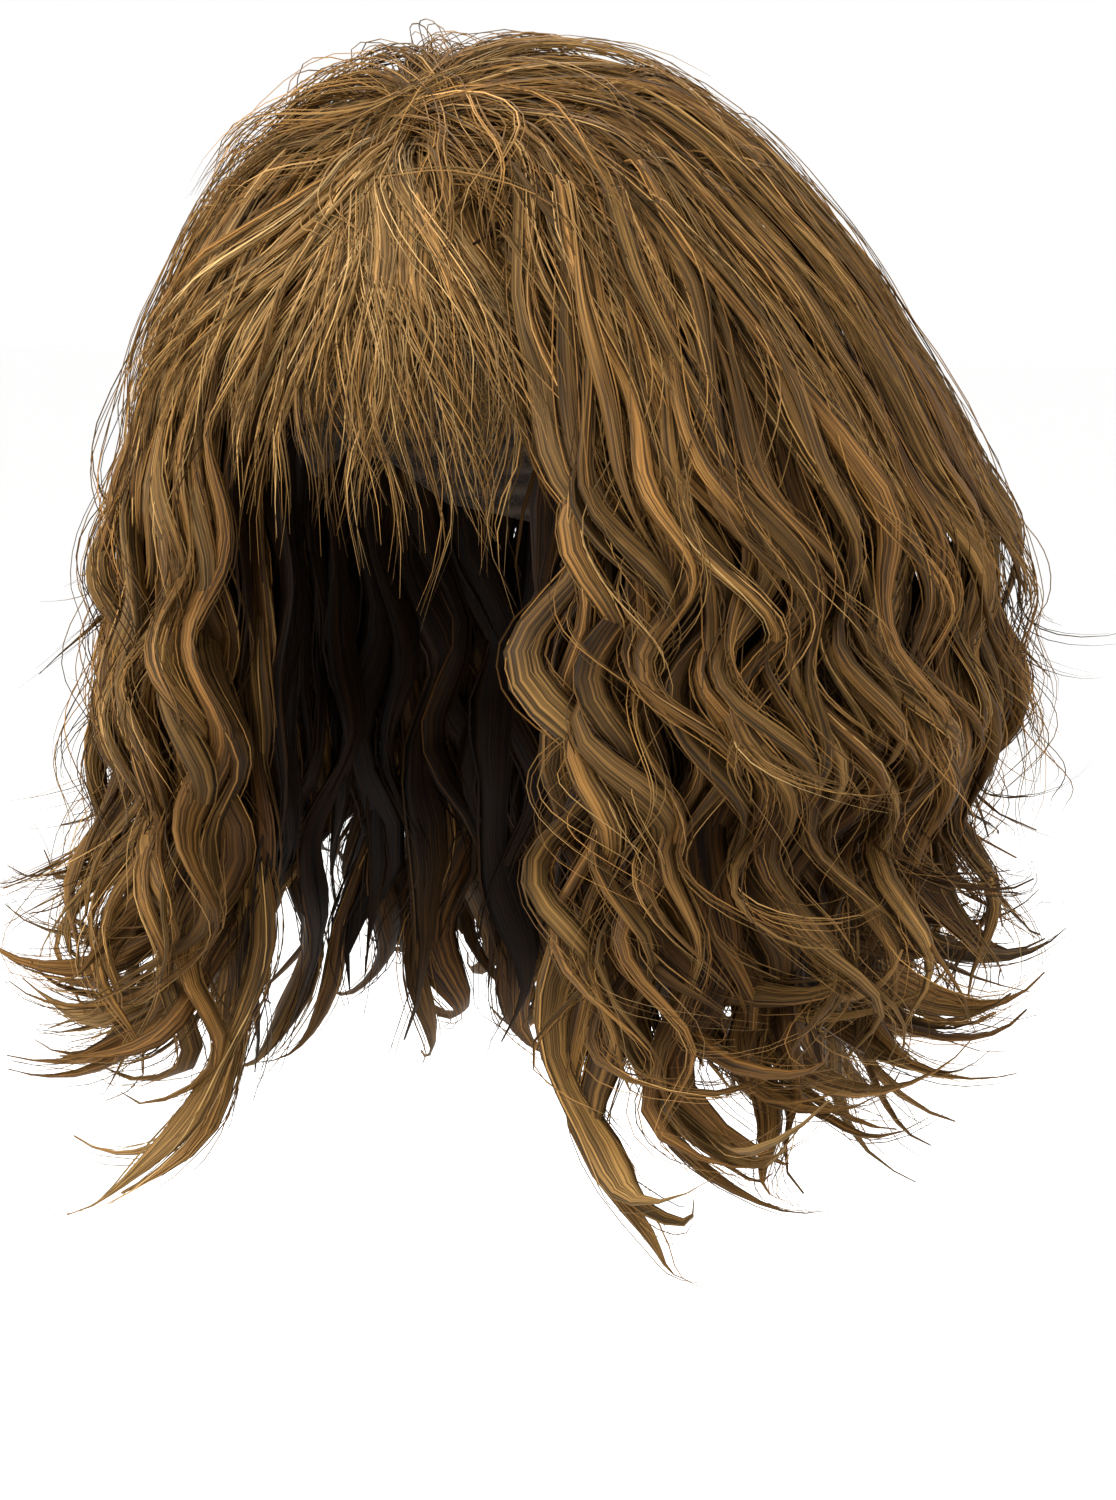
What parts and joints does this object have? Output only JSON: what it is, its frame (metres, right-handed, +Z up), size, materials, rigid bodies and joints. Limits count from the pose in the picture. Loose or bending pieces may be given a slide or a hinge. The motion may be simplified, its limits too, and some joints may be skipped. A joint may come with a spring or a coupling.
{
  "type": "long wavy wig",
  "caption": "Shoulder-length wavy wig: an open net cap carrying a teased crown, a full fringe, and layered wavy hair that hangs at the sides and back and flips out at its tips.",
  "frame": {"origin": "inner top of the cap, where the crown of the head seats", "axes": "+Z up, the wearer faces -Y, the wearer's left is +X"},
  "size_m": [0.371, 0.2854, 0.4216],
  "materials": {
    "cap_net": "dark brown knitted net with sewn weft rows",
    "hair": "golden medium brown synthetic hair fibre, satin, with lighter and darker streaks"
  },
  "bodies": {
    "root": {"wig_cap": "cap_net", "crown_hair": "hair", "fringe": "hair", "left_front_hair": "hair", "left_back_hair": "hair", "right_front_hair": "hair", "right_back_hair": "hair"}
  },
  "joints": []
}
